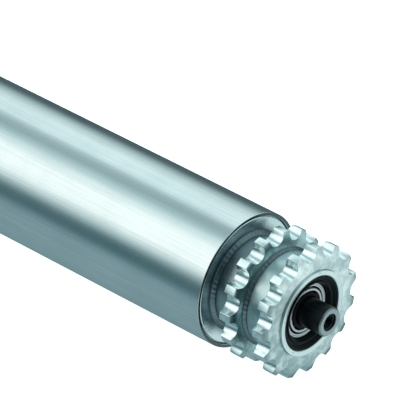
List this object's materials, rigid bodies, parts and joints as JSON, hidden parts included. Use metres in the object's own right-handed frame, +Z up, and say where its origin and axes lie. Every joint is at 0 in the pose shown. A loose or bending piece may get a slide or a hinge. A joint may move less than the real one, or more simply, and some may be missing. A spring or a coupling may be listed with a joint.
{
  "type": "chain-driven conveyor roller",
  "caption": "Heavy-duty conveyor roller with a zinc-plated steel tube, double sprocket head and female-threaded fixed axle.",
  "frame": {"origin": "middle of the axle, on its centreline", "axes": "+X along the axle towards the drive end that carries the sprockets, +Z up"},
  "size_m": [0.5, 0.08, 0.08],
  "materials": {
    "zinc_tube": "satin zinc plating with fine drawing lines",
    "sprocket_steel": "zinc-plated turned and cut steel, satin",
    "axle_steel": "dark bright-drawn bar, lightly oiled",
    "bearing_steel": "ground and polished",
    "seal_steel": "bright pressed steel",
    "spring_steel": "phosphated spring steel",
    "seal_black": "moulded black polyamide with a slight sheen",
    "rubber_lip": "smooth black nitrile rubber",
    "cage_plastic": "moulded glass-filled polyamide"
  },
  "bodies": {
    "axle_group": {"axle": "axle_steel", "drive_axle_retaining_ring": "spring_steel", "drive_bearing_inner_race": "bearing_steel", "drive_inner_seal": "rubber_lip", "drive_labyrinth_ring": "seal_steel", "idle_axle_retaining_ring": "spring_steel", "idle_bearing_inner_race": "bearing_steel", "idle_inner_seal": "rubber_lip", "idle_labyrinth_ring": "seal_steel"},
    "roller_group": {"drive_bearing_inner_shield": "seal_steel", "drive_bearing_outer_race": "bearing_steel", "drive_bearing_outer_shield": "seal_steel", "drive_end_disc": "sprocket_steel", "drive_housing_retaining_ring": "spring_steel", "drive_hub": "sprocket_steel", "drive_outer_seal": "seal_black", "drive_seal_cover": "seal_steel", "idle_bearing_inner_shield": "seal_steel", "idle_bearing_outer_race": "bearing_steel", "idle_bearing_outer_shield": "seal_steel", "idle_end_disc": "sprocket_steel", "idle_housing_retaining_ring": "spring_steel", "idle_hub": "sprocket_steel", "idle_outer_seal": "seal_black", "idle_seal_cover": "seal_steel", "inner_sprocket": "sprocket_steel", "outer_sprocket": "sprocket_steel", "roller_tube": "zinc_tube"},
    "drive_cage": {"drive_bearing_ball_1": "bearing_steel", "drive_bearing_ball_2": "bearing_steel", "drive_bearing_ball_3": "bearing_steel", "drive_bearing_ball_4": "bearing_steel", "drive_bearing_ball_5": "bearing_steel", "drive_bearing_ball_6": "bearing_steel", "drive_bearing_ball_7": "bearing_steel", "drive_bearing_ball_8": "bearing_steel", "drive_bearing_cage": "cage_plastic"},
    "idle_cage": {"idle_bearing_ball_1": "bearing_steel", "idle_bearing_ball_2": "bearing_steel", "idle_bearing_ball_3": "bearing_steel", "idle_bearing_ball_4": "bearing_steel", "idle_bearing_ball_5": "bearing_steel", "idle_bearing_ball_6": "bearing_steel", "idle_bearing_ball_7": "bearing_steel", "idle_bearing_ball_8": "bearing_steel", "idle_bearing_cage": "cage_plastic"}
  },
  "joints": [
    {"name": "roller_spin", "type": "hinge", "parent": "axle_group", "child": "roller_group", "pos_m": [0, 0, 0], "axis": [1, 0, 0], "continuous": true},
    {"name": "drive_cage_spin", "type": "hinge", "parent": "axle_group", "child": "drive_cage", "pos_m": [0, 0, 0], "axis": [1, 0, 0], "continuous": true},
    {"name": "idle_cage_spin", "type": "hinge", "parent": "axle_group", "child": "idle_cage", "pos_m": [0, 0, 0], "axis": [1, 0, 0], "continuous": true}
  ],
  "couplings": [
    {"joint": "drive_cage_spin", "follows": "roller_spin", "ratio": 0.6182},
    {"joint": "idle_cage_spin", "follows": "roller_spin", "ratio": 0.6182}
  ]
}
